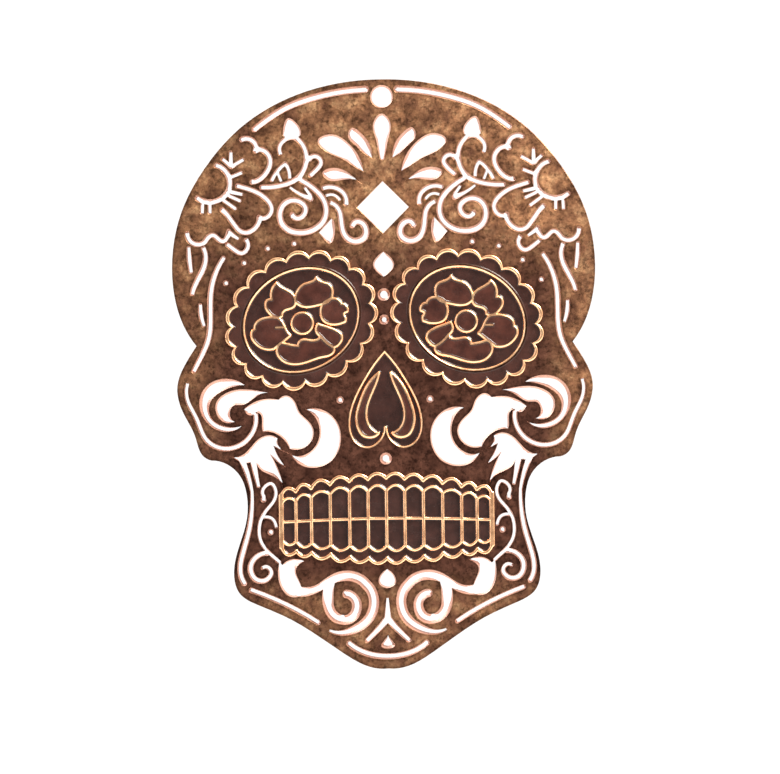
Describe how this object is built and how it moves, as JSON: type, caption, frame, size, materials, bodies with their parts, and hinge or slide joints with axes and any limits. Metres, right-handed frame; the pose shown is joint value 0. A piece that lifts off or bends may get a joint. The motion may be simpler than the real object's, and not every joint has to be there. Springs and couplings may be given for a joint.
{
  "type": "enamel pin",
  "caption": "Flat pierced skull badge in antique copper with raised lines and dark enamel cells, held on cloth by pin posts and squeeze clutches; a hole in the crown lets it hang.",
  "frame": {"origin": "middle of the plate's back face, where it lies on the cloth", "axes": "+X to the right as the face is seen, +Y out of the back along the posts, +Z towards the crown"},
  "size_m": [0.0358, 0.0092, 0.0498],
  "materials": {
    "antique_copper": "antiqued copper, dark in the recesses and polished on the raised lines",
    "umber_enamel": "translucent enamel",
    "russet_enamel": "translucent enamel",
    "smoke_enamel": "translucent enamel",
    "black_brown_enamel": "translucent enamel",
    "post_steel": "drawn wire",
    "spring_steel": "strip",
    "clutch_brass": "stamped and tumbled"
  },
  "bodies": {
    "pin": {"skull_plate": "antique_copper", "eye_band_enamel_left": "umber_enamel", "eye_band_enamel_right": "umber_enamel", "eye_socket_enamel_left": "black_brown_enamel", "eye_socket_enamel_right": "black_brown_enamel", "flower_centre_enamel_left": "russet_enamel", "flower_centre_enamel_right": "russet_enamel", "gum_enamel_lower": "umber_enamel", "gum_enamel_upper": "umber_enamel", "nose_enamel": "black_brown_enamel", "nostril_enamel": "russet_enamel", "petal_enamel_left": "russet_enamel", "petal_enamel_right": "russet_enamel", "tooth_enamel_lower": "smoke_enamel", "tooth_enamel_upper": "smoke_enamel", "post_left": "post_steel", "post_right": "post_steel"},
    "clutch_left": {"clutch_base_left": "clutch_brass", "clutch_cap_left": "clutch_brass", "clutch_spring_left": "spring_steel"},
    "wing_left_a": {"clutch_wing_left_a": "clutch_brass"},
    "wing_left_b": {"clutch_wing_left_b": "clutch_brass"},
    "clutch_right": {"clutch_base_right": "clutch_brass", "clutch_cap_right": "clutch_brass", "clutch_spring_right": "spring_steel"},
    "wing_right_a": {"clutch_wing_right_a": "clutch_brass"},
    "wing_right_b": {"clutch_wing_right_b": "clutch_brass"}
  },
  "joints": [
    {"name": "clutch_left_pull_off", "type": "slide", "parent": "pin", "child": "clutch_left", "axis": [0, 1, 0], "range_m": [0, 0.0075]},
    {"name": "wing_left_a_squeeze", "type": "hinge", "parent": "clutch_left", "child": "wing_left_a", "pos_m": [-0.0089, 0.0027, 0.0046], "axis": [0, 0, -1], "range_deg": [0, 10], "stiffness_Nm_per_rad": 0.005},
    {"name": "wing_left_b_squeeze", "type": "hinge", "parent": "clutch_left", "child": "wing_left_b", "pos_m": [-0.0051, 0.0027, 0.0046], "axis": [0, 0, 1], "range_deg": [0, 10]},
    {"name": "clutch_right_pull_off", "type": "slide", "parent": "pin", "child": "clutch_right", "axis": [0, 1, 0], "range_m": [0, 0.0075]},
    {"name": "wing_right_a_squeeze", "type": "hinge", "parent": "clutch_right", "child": "wing_right_a", "pos_m": [0.0051, 0.0027, 0.0046], "axis": [0, 0, -1], "range_deg": [0, 10], "stiffness_Nm_per_rad": 0.005},
    {"name": "wing_right_b_squeeze", "type": "hinge", "parent": "clutch_right", "child": "wing_right_b", "pos_m": [0.0089, 0.0027, 0.0046], "axis": [0, 0, 1], "range_deg": [0, 10]}
  ],
  "couplings": [
    {"joint": "wing_left_b_squeeze", "follows": "wing_left_a_squeeze", "ratio": 1},
    {"joint": "wing_right_b_squeeze", "follows": "wing_right_a_squeeze", "ratio": 1}
  ]
}
